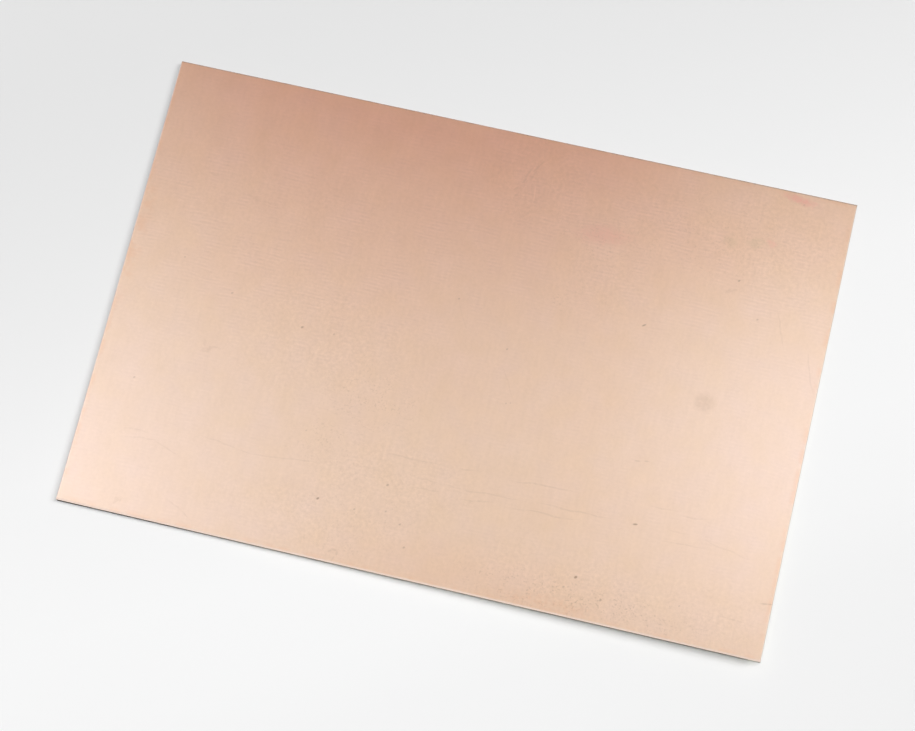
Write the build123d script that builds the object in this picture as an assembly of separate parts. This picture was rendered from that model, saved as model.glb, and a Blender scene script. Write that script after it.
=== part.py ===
from build123d import *
import os

# Copper clad board: a blank of glass-epoxy laminate with copper foil bonded over its upper face.
# Millimetres. The origin is the centre of the underside, +X runs along the long edges and
# +Z points up through the copper face.

# Driving dimensions
board_length = 150.0  # along X, between the two short edges
board_width = 100.0  # along Y, between the two long edges
board_thickness = 1.6  # laminate and foil together
foil_thickness = 0.035  # the foil that weighs one ounce to the square foot

# A shear blade pulls the copper face down a little along each edge before it cuts through,
# and the cut breaks out at the underside, which leaves the lower corner blunt.
roll_width = 0.30  # how far in from an edge the face begins to fall
roll_drop = 0.08  # how far it has fallen where it meets the cut
breakout = 0.08  # leg of the blunt lower corner

# The sheet that the blank is cut from reaches this far past each cut.
sheet_overrun = 5.0


def sheared_section(width, top):
    """Section across two parallel cuts that stand width apart, with the copper face at top."""
    edge = width / 2
    face_end = (edge - roll_width, top)
    with BuildLine() as outline:
        Line((0, top), face_end)
        TangentArc(face_end, (edge, top - roll_drop), tangent=(1, 0))
        Polyline((edge, top - roll_drop), (edge, breakout), (edge - breakout, 0), (0, 0))
        mirror(about=Plane.YZ)
    return make_face(outline.edges())


def sheared_blank(top):
    """Sheet of this height with all four edges sheared: a strip cut one way, then the other way."""
    across_length = Plane.XZ * sheared_section(board_length, top)
    across_width = Plane.YZ * sheared_section(board_width, top)
    strip = extrude(across_length, board_width / 2 + sheet_overrun, both=True)
    return strip & extrude(across_width, board_length / 2 + sheet_overrun, both=True)


def laminate_panel():
    """Woven glass and epoxy under the foil, rolled over at its edges as the foil is."""
    return sheared_blank(board_thickness - foil_thickness)


def copper_foil():
    """Foil over the whole upper face, cut flush with the laminate and following its rolled edges."""
    return sheared_blank(board_thickness) - laminate_panel()


os.makedirs("parts", exist_ok=True)
for piece in (laminate_panel, copper_foil):
    solid = piece().solid()
    export_step(solid, f"parts/{piece.__name__}.step")
    print(piece.__name__, "volume", round(solid.volume / 1000, 3), "cm3")
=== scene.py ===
# %% [markdown]
# # A copper clad board on a studio table
# The object is a blank that circuit boards are etched or milled from: a sheared rectangle of
# woven glass and epoxy, 150 x 100 x 1.6 mm, with copper foil bonded over its upper face.
# Its two pieces come from the CAD model and keep their shape. What Blender adds is their
# finish, a pale table and soft light, as in the photograph.

# %% Load the board
import math
import bmesh
import bpy
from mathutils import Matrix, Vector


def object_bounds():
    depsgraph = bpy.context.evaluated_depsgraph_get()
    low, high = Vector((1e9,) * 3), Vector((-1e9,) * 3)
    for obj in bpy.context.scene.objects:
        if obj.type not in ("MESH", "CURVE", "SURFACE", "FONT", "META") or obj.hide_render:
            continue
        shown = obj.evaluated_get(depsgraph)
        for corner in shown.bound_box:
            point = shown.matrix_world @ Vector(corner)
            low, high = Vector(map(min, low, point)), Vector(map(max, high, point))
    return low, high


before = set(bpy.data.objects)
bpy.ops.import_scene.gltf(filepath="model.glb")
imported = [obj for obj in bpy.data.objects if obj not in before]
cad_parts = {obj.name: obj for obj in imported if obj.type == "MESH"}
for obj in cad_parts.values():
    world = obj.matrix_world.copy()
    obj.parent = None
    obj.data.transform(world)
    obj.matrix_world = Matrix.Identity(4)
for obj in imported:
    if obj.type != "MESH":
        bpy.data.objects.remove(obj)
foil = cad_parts["copper_foil"]
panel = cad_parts["laminate_panel"]
cad_low, cad_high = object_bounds()
board_length, board_width, board_thickness = [1000 * side for side in cad_high - cad_low]
print("board in mm:", round(board_length, 3), round(board_width, 3), round(board_thickness, 3))

# %% [markdown]
# ## The camera
# The photograph looks down steeply at the board with a long lens, from a little to the
# right of its middle. A camera could be turned by eye until the picture looks right. Here its
# place was worked out instead, so that the four corners of the real rectangle fall where
# the photograph shows them. The small sideways shift says that the photograph was cropped.

# %% Place the camera
photo_width = 915
focal_length_px = 2335.7
camera_place = (0.05530, -0.11421, 0.47811)
camera_turn = (14.190, 1.854, 13.347)
crop_shift_px = -60

bpy.ops.object.camera_add(location=camera_place, rotation=[math.radians(a) for a in camera_turn])
camera = bpy.context.object
camera.name = "camera"
camera.data.sensor_width = 36
camera.data.lens = focal_length_px * camera.data.sensor_width / photo_width
camera.data.shift_x = crop_shift_px / photo_width
camera.data.clip_start = 0.01
camera.data.clip_end = 20
bpy.context.scene.camera = camera
print("lens in mm:", round(camera.data.lens, 2))

# %% [markdown]
# ## Writing a material as sums
# A material that is drawn node by node in the editor soon turns into a tangle, and most of
# its nodes are plain arithmetic. The class below wraps one output of a node. Python's own
# operators on it add Math nodes, so `1 - mask` reads as what it does, and `node()` adds
# any other kind of node: its settings come first, then the values or links of its sockets.

# %% A wire from a node
class Wire:
    """One output of a node. Arithmetic on it adds Math nodes, node() adds any other node."""

    def __init__(self, tree, socket=None):
        self.tree = tree
        self.socket = socket

    def node(self, kind, inputs=None, output=0, stops=None, **settings):
        made = self.tree.nodes.new(kind)
        for name, setting in settings.items():
            setattr(made, name, setting)
        if stops:
            points = made.color_ramp.elements
            while len(points) < len(stops):
                points.new(1)
            for point, (position, colour) in zip(points, stops):
                point.position = position
                point.color = (*colour, 1)
        for name, value in (inputs or {}).items():
            if isinstance(value, Wire):
                self.tree.links.new(value.socket, made.inputs[name])
            else:
                made.inputs[name].default_value = value
        return Wire(self.tree, made.outputs[output])

    def other(self, output):
        return Wire(self.tree, self.socket.node.outputs[output])

    def math(self, operation, *terms):
        return self.node("ShaderNodeMath", dict(enumerate(terms)), operation=operation)

    def vector(self, operation, inputs, output=0):
        return self.node("ShaderNodeVectorMath", inputs, output, operation=operation)

    def __add__(self, term):
        return self.math("ADD", self, term)

    def __sub__(self, term):
        return self.math("SUBTRACT", self, term)

    def __rsub__(self, term):
        return self.math("SUBTRACT", term, self)

    def __mul__(self, term):
        return self.math("MULTIPLY", self, term)

    def __truediv__(self, term):
        return self.math("DIVIDE", self, term)

    def __abs__(self):
        return self.math("ABSOLUTE", self)

    __radd__ = __add__
    __rmul__ = __mul__

    def least(self, term):
        return self.math("MINIMUM", self, term)

    def most(self, term):
        return self.math("MAXIMUM", self, term)

    def wave(self, period):
        """A cosine of this period, from -1 to 1."""
        return self.math("COSINE", self * (2 * math.pi / period))

    def fade(self, start, end, low=0.0, high=1.0):
        """Goes smoothly from low at start to high at end, and stays there."""
        sockets = {0: self, 1: start, 2: end, 3: low, 4: high}
        return self.node("ShaderNodeMapRange", sockets, interpolation_type="SMOOTHSTEP")

    def mix(self, first, second):
        """A colour: first where this mask is 0, second where it is 1."""
        sockets = {0: self, 6: first, 7: second}
        return self.node("ShaderNodeMix", sockets, 2, data_type="RGBA")


def finish(name):
    """A new material with no nodes, and the first wire in it: the place on the piece in millimetres."""
    material = bpy.data.materials.new(name)
    material.use_nodes = True
    material.node_tree.nodes.clear()
    start = Wire(material.node_tree).node("ShaderNodeTexCoord", output="Object")
    return material, start.vector("SCALE", {0: start, "Scale": 1000})


def surface(material, shader):
    """Ends a material: this shader becomes its surface."""
    end = material.node_tree.nodes.new("ShaderNodeOutputMaterial")
    material.node_tree.links.new(shader.socket, end.inputs["Surface"])


def colour(*parts):
    """A colour for a socket, fully opaque."""
    return (*parts, 1)


print("a wire can:", ", ".join(name for name in vars(Wire) if not name.startswith("_")))

# %% [markdown]
# ## Ways to place a mark
# Both finishes carry small marks at known places. An image could hold them, but a few
# nodes are sharper and stay with the board at any size. A Mapping node set to Texture
# moves, turns and stretches the coordinates so that a mark of any length and width becomes
# a circle of radius one about zero, and its distance from zero then fades the mark out.
# A very long thin one makes a scratch that tapers at both ends.

# %% Marks, noise and distance from the edges
def flat(place):
    """The same place with its height left out."""
    return place.vector("MULTIPLY", {0: place, 1: (1, 1, 0)})


def mark(place, x, y, long, wide, turn=0.0, soft=0.5, under=0.0, strength=1.0):
    """Strength inside a mark of these half sizes and this turn in degrees, and under outside it."""
    sockets = {"Vector": place, "Location": (x, y, 0), "Rotation": (0, 0, math.radians(turn)),
               "Scale": (long, wide, 1)}
    local = place.node("ShaderNodeMapping", sockets, vector_type="TEXTURE")
    return local.vector("LENGTH", {0: local}, "Value").fade(1 + soft, 1 - soft, under, strength)


def marks(place, shapes, soft=0.5):
    """Many marks, each a row of x, y, half length, half width, turn and strength.

    Cycles would prepare them all side by side, and it has room for only about 250 numbers. So
    each mark's place is made to wait for the marks drawn before it, by adding nothing of them.
    """
    drawn = mark(place, *shapes[0][:5], soft=soft, strength=shapes[0][5])
    for x, y, long, wide, turn, strength in shapes[1:]:
        waiting = drawn.vector("MULTIPLY_ADD", {0: drawn, 1: (0, 0, 0), 2: place})
        drawn = mark(waiting, x, y, long, wide, turn, soft, drawn, strength)
    return drawn


def scratches(place, lines, wide=0.16):
    """Tapering scratches, each a row of its two ends and its strength, this wide on each side."""
    shapes = []
    for start_x, start_y, end_x, end_y, strength in lines:
        along, across = end_x - start_x, end_y - start_y
        half = math.hypot(along, across) / 2
        turn = math.degrees(math.atan2(across, along))
        shapes.append(((start_x + end_x) / 2, (start_y + end_y) / 2, half, wide, turn, strength))
    return marks(place, shapes)


def noise(place, size, detail=2.0, rough=0.5, stretch=(1, 1, 1)):
    """Cloudy noise about 0.5, with clouds about this size in millimetres."""
    if stretch != (1, 1, 1):
        place = place.vector("DIVIDE", {0: place, 1: stretch})
    sockets = {"Vector": place, "Scale": 1 / size, "Detail": detail, "Roughness": rough}
    return place.node("ShaderNodeTexNoise", sockets)


def pushed(place, size, reach, detail=1.0):
    """The place pushed about by a noise, so that what is drawn on it has an uneven outline."""
    push = noise(place, size, detail).other("Color")
    push = push.vector("SUBTRACT", {0: push, 1: (0.5, 0.5, 0.5)})
    return push.vector("MULTIPLY_ADD", {0: push, 1: (reach, reach, 0), 2: place})


def edges(x, y):
    """Distances in millimetres inwards from the short edges, the long edges, and the nearest."""
    from_end = board_length / 2 - abs(x)
    from_side = board_width / 2 - abs(y)
    return from_end, from_side, from_end.least(from_side)


print("edges of the face in mm: x", round(board_length / 2, 1), "and y", round(board_width / 2, 1))

# %% [markdown]
# ## The copper face: its tone
# Bare copper on a stock board is seldom one colour. Air and hands redden it unevenly. Here
# it is reddest along the back edge, partly as tarnish and partly as painted shade, and lightest
# at the front left corner and the right edge, as a painted highlight. It is a little tanned at
# the back right corner and in the middle of the front edge. A flat colour would look like paint.
# The tone is mixed through soft masks made from the coordinates: the redder band is deepest
# a little left of the middle and thins out towards the short edges.

# %% Copper tone
copper, spot = finish("copper foil")
on_face = flat(spot)
face_x = on_face.node("ShaderNodeSeparateXYZ", {0: on_face})
face_y = face_x.other("Y")

band_middle = -20
band_curve = 200
band_front = -33
band_depth = 79
handling_depth = 0.16

# The red band is partly tarnish and partly painted shade.
beside_band = face_x - band_middle
band = (face_y - band_front - beside_band * beside_band / band_curve) / band_depth
band = band.most(0).least(1)
reddened_and_shaded = band * band
handled = noise(on_face, 22, detail=3)
reddened_and_shaded = (reddened_and_shaded + (handled - 0.5) * handling_depth).most(0).least(1)

# Painted highlight: the lightest copper, at the front left corner and the right edge.
painted_highlight_places = [(-86, -42, 45, 32, 0, 1), (84, -10, 33, 28, 0, 1)]
painted_highlight = marks(on_face, painted_highlight_places, soft=0.95)
tanned_places = [(62, 46, 22, 11, 0, 0.6), (14, -48, 24, 7, 0, 0.5)]
tanned = marks(on_face, tanned_places, soft=0.8)

pale_copper = colour(0.930, 0.682, 0.523)
shaded_red_copper = colour(0.915, 0.515, 0.372)
painted_highlight_copper = colour(0.940, 0.730, 0.612)
tan_copper = colour(0.930, 0.640, 0.475)
tone = painted_highlight.mix(reddened_and_shaded.mix(pale_copper, shaded_red_copper), painted_highlight_copper)
tone = tanned.mix(tone, tan_copper)
print("copper tones:", pale_copper[:3], shaded_red_copper[:3], painted_highlight_copper[:3], tan_copper[:3])

# %% [markdown]
# ## The glass weave that prints through
# The foil is pressed onto glass cloth, and the cloth's threads lift it by about a
# thousandth of a millimetre. That is far too little to model, but light that glances off
# copper shows it as fine lines across the board. So it is a bump: waves at the pitch of the
# cloth's threads, wandering a little as real threads do, and stronger in some patches. The
# lines that run lengthwise also get faint painted shade in the colour, in short pieces.

# %% Weave under the foil
fill_pitch = 0.794
warp_pitch = 0.577
fill_um, warp_um, crossing_um = 1.2, 0.3, 0.6

wander = noise(on_face, 9, detail=1)
thread_y = face_y + (wander - 0.5) * 1.2
thread_x = face_x + (wander - 0.5) * 0.4
fill_lines = thread_y.wave(fill_pitch)
warp_lines = thread_x.wave(warp_pitch)
crossings = thread_x.wave(2 * warp_pitch) * thread_y.wave(2 * fill_pitch)
woven_places = [(-45, 14, 32, 17, 0, 1), (40, 32, 32, 13, -8, 1), (-5, 27, 26, 14, 0, 0.7)]
woven = marks(on_face, woven_places, soft=0.9)
pressed = noise(on_face, 7, detail=2).fade(0.40, 0.60) * (0.3 + woven * 0.7)
weave_um = (fill_lines * fill_um + warp_lines * warp_um + crossings * crossing_um) * pressed
broken = noise(on_face, 1.3, detail=1, stretch=(2.5, 1, 1)).fade(0.38, 0.60)
# Painted shade along the lengthwise threads, broken into short pieces.
painted_weave_shade = fill_lines * pressed * broken
thread_counts = round(board_width / fill_pitch), round(board_length / warp_pitch)
print("threads over the width and the length:", thread_counts)

# %% [markdown]
# ## Rolling streaks and cloudiness
# The foil was scrubbed and rolled along the board's width, which leaves faint streaks
# in that direction, and it is slightly cloudy at every size down to fractions of a
# millimetre. Noise that is stretched along Y gives the streaks, and plain noise at smaller and
# smaller sizes gives clouds and grain. Each moves the tone by only a percent or two. The grain
# is coarser in some patches, so it is multiplied by soft marks placed there. A slow noise
# also turns the hue a little, because tarnish isn't even either.

# %% Streaks and clouds
streak_depth, cloud_depth, grain_depth, painted_weave_depth = 0.045, 0.08, 0.22, 0.035

streaks = noise(on_face, 0.9, detail=1, stretch=(1, 9, 1))
clouds = noise(on_face, 5, detail=4, rough=0.6)
grain = noise(on_face, 0.75, detail=3, rough=0.6)

coarse_places = [
    (-45, 20, 34, 14, 0, 0.35), (-28, -4, 17, 11, 0, 0.85), (-8, -30, 15, 7, 0, 0.9),
    (-20, -42, 18, 6, 0, 0.85), (36, -44, 20, 6, 0, 1.0), (63, -43, 10, 6, 0, 0.7),
    (8, 40, 9, 9, 0, 0.85), (36, 38, 16, 8, 0, 0.55), (62, 38, 14, 12, 0, 0.9),
    (26, 22, 9, 7, 0, 0.7), (-64, -6, 10, 12, 0, 0.1),
]
coarse_patches = marks(on_face, coarse_places, soft=0.8)
coarse = 0.45 + coarse_patches * noise(on_face, 6, detail=2).fade(0.35, 0.60, 0.6, 1.2)
shade = (streaks - 0.5) * streak_depth + (clouds - 0.5) * cloud_depth
shade = shade + (grain - 0.5) * coarse * grain_depth + painted_weave_shade * painted_weave_depth
hue = noise(on_face, 7, detail=2) - 0.5
print("patches of coarse grain:", len(coarse_places))

# %% [markdown]
# ## Pits and specks
# Some two dozen dark pits and two longer nicks are scattered over the face, each a fraction
# of a millimetre across, and in some places there is a dust of finer specks. The pits are
# placed one by one. Dust has no such places, so it is the peaks of a fine noise, kept
# where a second noise and the dusty patches allow it.

# %% Pits and specks
pit_places = [
    (-21.5, -37.5, 0.30, 1.0), (34.5, -41.5, 0.34, 1.0), (-34.0, -2.5, 0.30, 0.7),
    (54.0, 28.0, 0.28, 0.6), (40.5, -45.0, 0.30, 0.6), (-8.0, -31.5, 0.28, 0.6),
    (64.0, 47.5, 0.26, 0.25), (-3.0, 11.0, 0.24, 0.4), (9.5, 2.5, 0.24, 0.4),
    (-1.5, -43.5, 0.26, 0.5), (-3.5, -39.0, 0.24, 0.5), (-7.0, -37.0, 0.24, 0.4),
    (-13.5, -38.0, 0.24, 0.4), (32.5, -44.0, 0.26, 0.4), (-66.0, -21.0, 0.26, 0.4),
    (-62.5, 7.0, 0.24, 0.3), (56.5, -42.5, 0.24, 0.3), (12.0, -9.0, 0.20, 0.3),
    (12.9, -8.7, 0.18, 0.3), (59.5, 20.5, 0.26, 0.4), (-27.5, -24.0, 0.24, 0.3),
    (-27.0, -2.5, 0.26, 0.35), (-50.5, 1.5, 0.26, 0.4),
]
pit_narrowing = 0.7
pit_turn = 40
pit_shapes = []
for x, y, radius, depth in pit_places:
    pit_shapes.append((x, y, radius, radius * pit_narrowing, pit_turn, depth))
nicks = [(36.5, 14.0, 0.45, 0.16, 35, 0.8), (44.0, -28.0, 0.48, 0.17, 10, 0.9)]
pitted = marks(on_face, pit_shapes + nicks)

dusty_places = [
    (-16, -14, 9, 6, 0, 1.0), (-22, -25, 7, 5, 0, 0.8), (-13, -38, 10, 7, 0, 0.5),
    (36, -46, 22, 3.5, 0, 1.5), (-14, -46.5, 5, 2, 0, 0.8), (18, 15.5, 3.5, 2.5, 0, 0.7),
    (47, 36, 14, 8, 0, 0.6), (24, 30, 10, 6, 0, 0.6),
]
dusty = marks(on_face, dusty_places, soft=0.8)
specks = noise(on_face, 0.45, detail=1).fade(0.54, 0.68)
dust = specks * noise(on_face, 2.4).fade(0.40, 0.60) * (dusty + 0.12)
print("pits:", len(pit_shapes), "nicks:", len(nicks), "dusty patches:", len(dusty_places))

# %% [markdown]
# ## Smudges and stains
# Finger grease and drops of water leave soft dull patches: a curved smear and a few small
# ones at the left, mottled pink stains behind the middle and at the back right corner, faint
# olive ones near that corner, a small brown hook by the front edge, and one round patch where
# a drop dried. Most have uneven outlines, so a noise first pushes the coordinates about, and
# the marks are placed on those.

# %% Smudges and stains
uneven = pushed(on_face, 1.3, 2.2, detail=3)

smudge_places = [
    (-52.0, -11.5, 1.9, 0.40, 20, 1.0), (-53.3, -10.5, 0.9, 0.35, -60, 0.8),
    (-51.0, 23.0, 0.9, 0.5, 0, 1.0), (-48.5, 22.6, 2.6, 0.22, 0, 0.6),
    (-61.5, 26.5, 0.8, 0.5, 0, 0.8), (-48.0, 29.5, 0.9, 0.5, 0, 0.8),
    (-27.5, 33.0, 1.1, 0.7, 0, 0.5), (53.0, 25.5, 1.5, 0.4, 30, 1.0),
    (48.0, 32.5, 1.0, 0.8, 0, 0.5), (49.5, 36.0, 1.0, 0.7, 0, 0.5),
    (-62.5, -47.5, 1.2, 0.3, 50, 0.8), (-52.5, 23.2, 0.5, 0.3, 0, 0.5),
]
smudges = marks(uneven, smudge_places)

olive_places = [(55.5, 37.0, 1.5, 1.0, 20, 0.5), (50.5, 36.2, 1.2, 1.0, 0, 0.4)]
olive_stains = marks(uneven, olive_places, soft=0.8)
pink_places = [
    (24.0, 31.5, 4.8, 1.7, 8, 0.8), (59.0, 37.5, 1.0, 0.6, 0, 0.7), (63.0, 48.4, 3.0, 0.7, -8, 1.6),
]
pink_stains = marks(uneven, pink_places, soft=0.8) * grain.fade(0.35, 0.60, 0.6, 1.2)

hook_places = [
    (-16.3, -47.6, 0.45, 0.22, 40, 0.9), (-15.5, -47.2, 0.60, 0.22, -10, 1.0),
    (-14.8, -47.8, 0.50, 0.24, 90, 1.0), (-15.3, -49.0, 0.50, 0.20, 70, 0.7),
]
brown_hook = marks(on_face, hook_places)
dried = noise(on_face, 0.8, detail=2).fade(0.30, 0.65, 0.5, 1.0)
drop = mark(on_face, 52.4, 0.5, 2.0, 1.9, soft=0.45) * dried
print("smudges:", len(smudge_places), "stains:", len(olive_places) + len(pink_places))

# %% [markdown]
# ## Scratches
# The board has slid over others in its stack, always lengthwise, so its scratches are long
# and nearly parallel: three broken lines across the front half, and shorter ones near both
# ends. They are hair thin, and each is one stretched mark on coordinates that sway a little,
# so that none is ruler straight. A second noise breaks them up where the copper was only
# skimmed. Near the back edge is a group of short slanting strokes with a bright one beside it.

# %% Scratches
swayed = pushed(on_face, 5, 1.2)
long_places = [
    (-9.5, -25.0, 0.5, -24.8, 1.0), (6.0, -24.7, 10.0, -24.5, 0.8), (17.0, -24.7, 29.5, -24.1, 1.0),
    (47.0, -23.6, 51.5, -23.4, 0.8), (53.0, -24.2, 58.5, -23.6, 0.8),
    (-2.5, -28.8, 2.0, -28.9, 0.8), (5.5, -28.9, 19.5, -28.5, 1.0), (24.0, -28.1, 38.0, -28.1, 1.0),
    (51.0, -27.5, 55.0, -27.6, 0.7), (58.5, -28.1, 68.0, -29.8, 0.7),
    (-2.0, -30.8, 3.0, -30.7, 0.8), (7.5, -30.8, 14.0, -30.2, 0.9), (18.5, -30.5, 32.5, -29.8, 1.0),
    (50.5, -30.1, 58.0, -29.9, 0.8),
    (-48.0, -30.3, -37.0, -31.5, 0.8), (-37.0, -31.5, -23.5, -30.2, 0.8),
]
short_places = [
    (-65.0, -32.0, -60.0, -31.9, 0.9), (-64.0, -33.7, -58.0, -32.9, 0.9),
    (-58.0, -33.2, -53.0, -34.9, 0.8), (-52.0, -44.8, -49.2, -46.0, 0.9),
    (-49.6, -45.8, -46.5, -47.8, 0.9), (40.9, -15.1, 42.0, -15.0, 1.6),
    (42.7, -14.8, 43.8, -14.6, 1.6), (65.0, -43.0, 70.5, -42.7, 0.9),
    (63.5, 22.5, 66.0, 16.0, 1.0), (71.5, 15.5, 73.7, 8.0, 0.9),
    (9.5, -1.8, 13.3, -7.6, 0.5), (-3.1, 10.6, 0.1, 4.6, 0.5), (72.4, -38.4, 75.4, -37.8, 2.2),
]
stroke_places = [
    (7.6, 44.9, 6.0, 42.3, 0.9), (5.7, 43.2, 4.5, 40.4, 1.0), (6.4, 42.2, 5.8, 40.2, 0.8),
    (4.8, 40.7, 4.2, 39.0, 1.0), (3.5, 38.1, 2.8, 37.2, 1.0), (3.9, 36.8, 3.1, 35.4, 0.6),
]
long_scratches = scratches(swayed, long_places)
short_scratches = scratches(swayed, short_places)
strokes = scratches(on_face, stroke_places, wide=0.22)
bright_scratch = scratches(on_face, [(7.1, 38.9, 7.4, 36.0, 1.0)])
worn = noise(on_face, 1.1, detail=2).fade(0.36, 0.56, 0.35, 1.0)
scratched = (long_scratches.most(short_scratches) * worn).most(strokes)
print("scratches:", len(long_places) + len(short_places), "strokes:", len(stroke_places))

# %% [markdown]
# ## The sheared edges of the foil
# The shear rolled the copper over at each edge, and hands left a patchy, warmer strip just
# inside it. The very arris differs from edge to edge: painted dark at the back as painted shade,
# greyed and darker at the sides as painted shade, and in front clean copper with a painted
# highlight. All of them follow the distance from the nearest edge, made a little rough, and
# the last three are told apart by where they are.

# %% Edges of the foil
front_edge, back_edge = -board_width / 2, board_width / 2
strip_from, strip_full = 0.7, 0.3

from_edge = edges(face_x, face_y)[2]
rough_edge = from_edge + (noise(on_face, 0.5, detail=2) - 0.5) * 0.25
at_front = face_y.fade(front_edge + strip_from, front_edge + strip_full)
at_back = face_y.fade(back_edge - strip_from, back_edge - strip_full)
arris = rough_edge.fade(0.26, 0.10)
front_arris = rough_edge.fade(0.50, 0.20) * at_front

mottle = noise(on_face, 1.2, detail=3)
patchy = noise(on_face, 3.5, detail=2).fade(0.42, 0.60)
warm_strip = rough_edge.fade(1.6, 0.1) * patchy
left_tint = mark(uneven, -75.5, 10, 14, 2.6, 90, soft=0.8) * patchy
front_tint = mark(uneven, 30, -48.5, 9, 1.6, 0, soft=0.8) * mottle.fade(0.40, 0.60, 0.2, 1.0)
edge_warmth = (warm_strip * 0.35).most(left_tint * 0.5).most(front_tint * 0.35)
print("nodes in the copper so far:", len(copper.node_tree.nodes))

# %% [markdown]
# ## Putting the copper together
# One metallic shader carries all of it. First the shading scales the tone. It moves red a
# little less and blue a little more, so that grain on the orange metal looks neutral. Then
# the masks mix in their colours in turn, from the widest to the smallest. Dirt also
# changes the roughness, and the front arris is rough, so that it catches light from all over.
# The heights of the weave and the grain go into one Bump node whose unit is a thousandth of a
# millimetre. Pits and scratches are too shallow to need it.

# %% Copper shader
dirt = colour(0.30, 0.17, 0.08)
pit_floor = colour(0.24, 0.12, 0.06)
olive = colour(0.62, 0.50, 0.30)
pink = colour(0.93, 0.47, 0.38)
orange = colour(0.90, 0.50, 0.28)
painted_back_shade = colour(0.30, 0.25, 0.23)
painted_grey_shade = colour(0.70, 0.69, 0.70)
fresh_and_painted_highlight = colour(1.00, 0.86, 0.78)
shade_by_channel = (0.92, 1.03, 1.17)
hue_by_channel = (0, 0.02, 0.14)

shade = shade + bright_scratch * 0.08
shading = shade.vector("SCALE", {0: shade_by_channel, "Scale": shade})
shading = hue.vector("MULTIPLY_ADD", {0: hue_by_channel, 1: hue, 2: shading})
skin = tone.vector("MULTIPLY_ADD", {0: tone, 1: shading, 2: tone})
skin = (edge_warmth * 0.7).mix(skin, orange)
skin = (pink_stains * 0.38).mix(skin, pink)
skin = (olive_stains * 0.42).mix(skin, olive)
skin = (smudges * 0.08 + drop * 0.14 + brown_hook * 0.14).mix(skin, dirt)
skin = (scratched * 0.10 + dust * 0.14).mix(skin, dirt)
skin = (pitted * 0.55).mix(skin, pit_floor)
# Painted shade: the back arris is darkened, unevenly.
skin = (arris * at_back * mottle.fade(0.35, 0.60, 0.35, 0.60)).mix(skin, painted_back_shade)
# Painted shade: the other arrises are greyed and darkened.
skin = (arris * (1 - at_back) * 0.35).mix(skin, painted_grey_shade)
# The front arris is made clean bright copper, a painted highlight.
skin = (front_arris * 0.75).mix(skin, fresh_and_painted_highlight)

base_roughness = 0.35
grain_um = 0.6
micrometre = 1e-6
roughness = base_roughness + (clouds - 0.5) * 0.05 + smudges * 0.06 + dust * 0.05 + front_arris * 0.35
height_um = weave_um + (grain - 0.5) * grain_um
relief_sockets = {"Strength": 1, "Distance": micrometre, "Height": height_um}
relief = height_um.node("ShaderNodeBump", relief_sockets, "Normal")
copper_sockets = {"Base Color": skin, "Metallic": 1, "Roughness": roughness, "Normal": relief}
copper_surface = skin.node("ShaderNodeBsdfPrincipled", copper_sockets)
surface(copper, copper_surface)
foil.data.materials[0] = copper
print("copper nodes:", len(copper.node_tree.nodes))

# %% [markdown]
# ## Glass and epoxy: the underside
# Under the foil the board is a stack of glass cloth soaked in epoxy. Its bare underside
# shows the cloth: a plain weave, each thread going over one and under the next. Real
# threads could be modelled, but pressed flat in resin they stand up by only a few
# thousandths of a millimetre. A cosine across each set of threads gives their rounding,
# and the product of the two cosines says which set is on top at each crossing.

# %% Woven underside
laminate, inside = finish("glass epoxy laminate")
under = flat(inside)
glass_x = under.node("ShaderNodeSeparateXYZ", {0: under})
glass_y = glass_x.other("Y")
wobble = noise(under, 7, detail=1) - 0.5
warp_across = glass_x + wobble * 0.25
fill_across = glass_y + wobble * 0.30

warp_side = warp_across.wave(2 * warp_pitch)
fill_side = fill_across.wave(2 * fill_pitch)
warp_on_top = (warp_side * fill_side).fade(-0.25, 0.25)
warp_round = abs(warp_side)
fill_round = abs(fill_side)
crown = fill_round + (warp_round - fill_round) * warp_on_top
warp_fibres = noise(under, 0.07, detail=1, stretch=(1, 14, 1))
fill_fibres = noise(under, 0.07, detail=1, stretch=(14, 1, 1))
fibres = fill_fibres + (warp_fibres - fill_fibres) * warp_on_top
resin_window = (1 - warp_round) * (1 - fill_round)

thread = colour(0.640, 0.620, 0.430)
resin = colour(0.420, 0.420, 0.225)
# Painted sheen: the cloth is a little lighter where the warp threads lie on top.
cloth_tone_and_sheen = (0.92 + (fibres - 0.5) * 0.35 + (noise(under, 14, detail=3) - 0.5) * 0.22
              + (warp_on_top - 0.5) * 0.07)
cloth = (crown.fade(0.10, 0.75) * (1 - resin_window * 0.6)).mix(resin, thread)
cloth = cloth.vector("SCALE", {0: cloth, "Scale": cloth_tone_and_sheen})
print("threads in mm: one each", fill_pitch, "across the width and", warp_pitch, "along the length")

# %% [markdown]
# ## Glass and epoxy: the cut edges
# A shear doesn't leave a clean edge. The cut face shows the eight plies as thin lines,
# with the ends of the threads between them as pale dots, and the resin along the underside's
# rim is crazed nearly white. These depend on the height in the stack and on the distance
# from the edge, so the object's own coordinates are all that is needed. The cut is painted
# lighter or darker along the edges: nearly black at the left of the front edge as painted shade,
# lighter along the rest of the front edge and towards the front of the left end as painted
# light, and darker along the back and at the right end, so that those throw less light onto
# the table.

# %% Plies, thread ends and crazing
ply_count = 8
foil_thickness = 0.035
ply = (board_thickness - foil_thickness) / ply_count
left_end, right_end = -board_length / 2, board_length / 2
cut_from, cut_full = 0.10, 0.02

stack = inside.node("ShaderNodeSeparateXYZ", {0: inside}, "Z") / ply
ragged = noise(inside, 0.35, detail=3)
stack = stack + (ragged - 0.5) * 0.5
in_ply = stack.math("FRACT", stack)
ply_number = stack - in_ply
ply_line = (abs(in_ply - 0.5) * 2).fade(0.62, 0.98)
glass_end, glass_side, from_rim = edges(glass_x, glass_y)
on_long_edge = (glass_end - glass_side).fade(-0.01, 0.01)
thread_ends = glass_y / fill_pitch + (glass_x / warp_pitch - glass_y / fill_pitch) * on_long_edge
thread_ends = abs((thread_ends + ply_number * 0.37).wave(2)) * (1 - ply_line)

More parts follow.
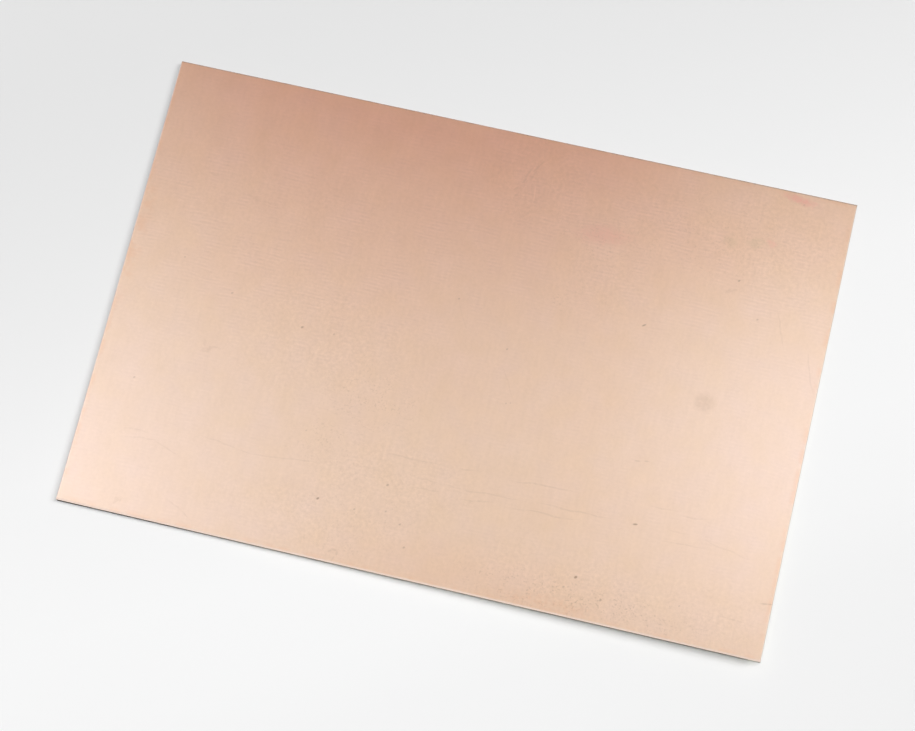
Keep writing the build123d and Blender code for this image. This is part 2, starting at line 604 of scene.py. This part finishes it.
cut_resin = colour(0.170, 0.140, 0.115)
cut_glass = colour(0.360, 0.325, 0.280)
crazed = colour(0.760, 0.745, 0.620)
smeared = colour(0.34, 0.24, 0.18)
cut = (thread_ends.fade(0.25, 0.85) * 0.75 + 0.15).mix(cut_resin, cut_glass)
cut = (noise(inside, 1.8, detail=3).fade(0.52, 0.66) * 0.25).mix(cut, crazed)
near_foil = stack.fade(ply_count - 1.1, ply_count - 0.1)
cut = (near_foil * ragged.fade(0.40, 0.60) * 0.6).mix(cut, smeared)
front_cut = glass_y.fade(front_edge + cut_from, front_edge + cut_full)
left_cut = glass_x.fade(left_end + cut_from, left_end + cut_full)
right_cut = glass_x.fade(right_end - cut_from, right_end - cut_full)
# Painted shade at the left of the front cut, painted light further along it; the back and right end
# stay darker.
front_painted_lightness = glass_x.fade(-60, -20, -0.3, 0.9) - glass_x.fade(10, 70, 0, 0.4)
painted_lightness = 0.6 + front_cut * front_painted_lightness
painted_lightness = painted_lightness + left_cut * glass_y.fade(25, -25, 0, 0.9) - right_cut * 0.2
cut = cut.vector("SCALE", {0: cut, "Scale": painted_lightness})
# A pale patch on the front cut, just left of the right corner.
pale_corner_patch = mark(under, 73.9, -50.0, 1.5, 0.6, 0, soft=0.3)
cut = (pale_corner_patch * 0.75).mix(cut, crazed)

uneven_rim = from_rim + (noise(under, 1.6, detail=3) - 0.5) * 1.6
crazed_rim = uneven_rim.fade(0.95, 0.25)
cut_face = from_rim.fade(cut_from, cut_full)
glass_skin = (crazed_rim * 0.75).mix(cloth, crazed)
print("plies:", ply_count, "of", round(ply, 3), "mm each")

# %% [markdown]
# ## Putting the laminate together
# The underside is glossy resin over cloth, and the cut is dull torn fibre. They are two
# shaders rather than one, because a cut has no sheen at all, and a Mix Shader node takes the
# cut one wherever the distance from the rim is next to nothing.

# %% Laminate shader
thread_um, fibre_um, torn_um, crazing_um = 7, 2, 45, 12
resin_roughness = 0.34
cut_roughness = 0.85

glass_height_um = crown * thread_um * (1 - cut_face) + fibres * fibre_um
glass_height_um = glass_height_um + ragged * torn_um * cut_face + crazed_rim * ragged * crazing_um
glass_relief_sockets = {"Strength": 1, "Distance": micrometre, "Height": glass_height_um}
glass_relief = glass_height_um.node("ShaderNodeBump", glass_relief_sockets, "Normal")
glass_roughness = resin_roughness + crazed_rim * 0.16 + (fibres - 0.5) * 0.10
laminate_sockets = {"Base Color": glass_skin, "Roughness": glass_roughness, "Normal": glass_relief}
laminate_surface = glass_skin.node("ShaderNodeBsdfPrincipled", laminate_sockets)
cut_sockets = {"Base Color": cut, "Roughness": cut_roughness, "Specular IOR Level": 0,
               "Normal": glass_relief}
cut_surface = cut.node("ShaderNodeBsdfPrincipled", cut_sockets)
mix_sockets = {0: cut_face, 1: laminate_surface, 2: cut_surface}
surface(laminate, cut_face.node("ShaderNodeMixShader", mix_sockets))
panel.data.materials[0] = laminate
print("laminate nodes:", len(laminate.node_tree.nodes))

# %% [markdown]
# ## The table
# The board lies on a plain pale table. The photograph's table is a little darker at the
# far left than at the near right. More or less light could do that, but it would also
# change the copper, so a ramp across the floor's own colour does it. The ramp runs along
# one slanting direction and keeps its end tones everywhere beyond the picture.
#
# The shadow in the photograph widens towards the front right corner, as if the board stood
# clear of the table there by a couple of millimetres. The board stays flat and the table dips
# instead: its middle is subdivided, and one point in front of that corner is pulled down
# with proportional editing, as one would pull at it by hand.

# %% Floor
ramp_turn = math.radians(119.5)
ramp_start, ramp_end = -110, 110
floor_drop = 2e-5
floor_size = 8
near_size = 0.4
near_cuts = 79
dip_middle = (0.070, -0.075, 0)
dip_depth = 0.0026
dip_reach = 0.13

bpy.ops.object.select_all(action="DESELECT")
bpy.ops.mesh.primitive_plane_add(size=floor_size, location=(0, 0, -floor_drop))
floor = bpy.context.object
floor.name = "floor"

bpy.ops.object.mode_set(mode="EDIT")
bpy.ops.mesh.inset(thickness=(floor_size - near_size) / 2)
bpy.ops.mesh.subdivide(number_cuts=near_cuts)
bpy.ops.mesh.select_all(action="DESELECT")
near = bmesh.from_edit_mesh(floor.data)
lowest = min(near.verts, key=lambda point: math.dist(point.co, dip_middle))
lowest.select_set(True)
bmesh.update_edit_mesh(floor.data)
bpy.ops.transform.translate(
    value=(0, 0, -dip_depth), use_proportional_edit=True,
    proportional_edit_falloff="SMOOTH", proportional_size=dip_reach)
bpy.ops.mesh.select_all(action="SELECT")
bpy.ops.mesh.faces_shade_smooth()
bpy.ops.object.mode_set(mode="OBJECT")
print("floor dips by", round(1000 * max(-point.co.z for point in floor.data.vertices), 2), "mm")

table, table_mm = finish("pale table")
ramp_direction = (math.cos(ramp_turn), math.sin(ramp_turn), 0)
slant = table_mm.vector("DOT_PRODUCT", {0: table_mm, 1: ramp_direction}, "Value")
slant = (slant - ramp_start) / (ramp_end - ramp_start)


def grey(level):
    """The colour that shows as this grey, 0 to 255, under light of strength one."""
    share = level / 255
    linear = ((share + 0.055) / 1.055) ** 2.4
    return linear, linear, linear


table_stops = [
    (0.04, grey(242.8)), (0.19, grey(244.1)), (0.25, grey(246.4)), (0.34, grey(247.5)),
    (0.49, grey(245.3)), (0.63, grey(238.3)), (0.73, grey(233.9)), (0.82, grey(230.6)),
    (0.88, grey(229.2)), (0.98, grey(228.8)),
]
table_tone = slant.node("ShaderNodeValToRGB", {0: slant}, stops=table_stops)
table_sockets = {"Base Color": table_tone, "Roughness": 0.9, "Specular IOR Level": 0}
surface(table, slant.node("ShaderNodeBsdfPrincipled", table_sockets))
floor.data.materials.append(table)

# %% [markdown]
# ## Panels that the copper reflects
# Metal has no colour of its own in the dark: it shows what it reflects. Copper on a board is
# dull, so it blurs its surroundings, and the soft change of tone over the photograph comes
# from wide lamps overhead, to the left and to the right, with a dimmer middle. The copper
# needs them and the table doesn't, so they are hidden from diffuse surfaces, as a
# photographer would keep a reflector's light off the background.

# %% Overhead panels
panel_height = 0.5


def overhead_panel(name, x, y, width, depth, brightness):
    """A soft panel facing down, this bright all over, seen only in reflections."""
    bpy.ops.object.light_add(type="AREA", location=(x, y, panel_height))
    lamp = bpy.context.object
    lamp.name = name
    lamp.data.shape = "RECTANGLE"
    lamp.data.size = width
    lamp.data.size_y = depth
    lamp.data.energy = brightness * math.pi * width * depth
    lamp.visible_camera = False
    lamp.visible_diffuse = False
    print(name, "is", width, "by", depth, "m with brightness", brightness)


overhead_panel("left panel", -0.377, -0.020, 0.345, 0.135, 1.865)
overhead_panel("right panel", 0.256, 0.104, 0.438, 0.206, 1.28)
overhead_panel("wide panel", -0.262, 0.026, 0.557, 0.300, 0.575)

# %% [markdown]
# ## Light on the table and the board's edges
# Soft suns light what isn't metal. The strongest shines nearly straight down, leans a little
# to the right and forward, and sets the level. Two more slant in from behind the board's
# right end, one higher than the other. Together they act as one lamp that is tall and narrow,
# so the shadow they throw is soft along the left edge and crisper along the front one.
# With the sky all of them add up to one, so a pale grey shows as the grey it was given. The
# copper doesn't reflect them, because a sun would show on it as a bright disc.

# %% Suns
sky_level = 0.05
overhead_level = 0.67
slanting_level = 0.14


def soft_sun(name, direction, spread, level):
    """A sun from this direction, this many degrees wide, giving flat white ground this tone."""
    x, y, z = direction
    bpy.ops.object.light_add(type="SUN", location=(x, y, z))
    sun = bpy.context.object
    sun.name = name
    away = math.hypot(x, y)
    sun.rotation_euler = (math.atan2(away, z), 0, math.atan2(x, -y))
    sun.data.angle = math.radians(spread)
    sun.data.energy = level * math.pi * math.hypot(away, z) / z
    sun.visible_glossy = False
    print(name, "is", spread, "degrees wide with level", level)


soft_sun("overhead sun", (0.10, -0.07, 1), 33, overhead_level)
soft_sun("high slanting sun", (0.58, 0.26, 1), 18, slanting_level)
soft_sun("low slanting sun", (1.00, 0.30, 1), 18, slanting_level)

# %% [markdown]
# ## The surroundings
# The backdrop is white in front and pale grey behind, and it dims overhead, where the room
# is dark above the lamps. The camera and the copper's reflections see that. Diffuse surfaces
# see a plain dim sky, so that the backdrop adds no glare to the scene.

# %% World
world = bpy.data.worlds.new("studio")
bpy.context.scene.world = world
world.use_nodes = True
world.node_tree.nodes.clear()
front_tone = 1.0
back_tone = 0.68
turning_reach = 0.6
ceiling_tone = 0.24
horizon_top = 0.70
ceiling_start = 1.00

sky = Wire(world.node_tree).node("ShaderNodeTexCoord", output="Generated")
up = sky.node("ShaderNodeSeparateXYZ", {0: sky}, "Z")
horizon_tone = up.other("Y").fade(-turning_reach, turning_reach, front_tone, back_tone)
seen_tone = up.fade(horizon_top, ceiling_start, horizon_tone, ceiling_tone)
camera_ray = sky.node("ShaderNodeLightPath", output="Is Camera Ray")
seen = camera_ray.most(camera_ray.other("Is Glossy Ray")).most(camera_ray.other("Is Transmission Ray"))
strength = sky_level + (seen_tone - sky_level) * seen
backdrop = strength.node("ShaderNodeBackground", {"Color": colour(1, 1, 1), "Strength": strength})
backdrop_end = world.node_tree.nodes.new("ShaderNodeOutputWorld")
world.node_tree.links.new(backdrop.socket, backdrop_end.inputs["Surface"])
print("backdrop from", front_tone, "in front to", back_tone, "behind and", ceiling_tone, "overhead")

# %% [markdown]
# ## How the picture is written
# Blender's usual view transform is made for sunlit scenes and would grey the white table. The
# Standard one shows each colour as it was written, which suits a studio picture.

# %% Picture settings
bpy.context.scene.view_settings.view_transform = "Standard"
print("view transform:", bpy.context.scene.view_settings.view_transform)

# %% [markdown]
# ## Sizes and the end
# The finish doesn't change the board's size: its box in millimetres goes to the output when it
# is loaded.
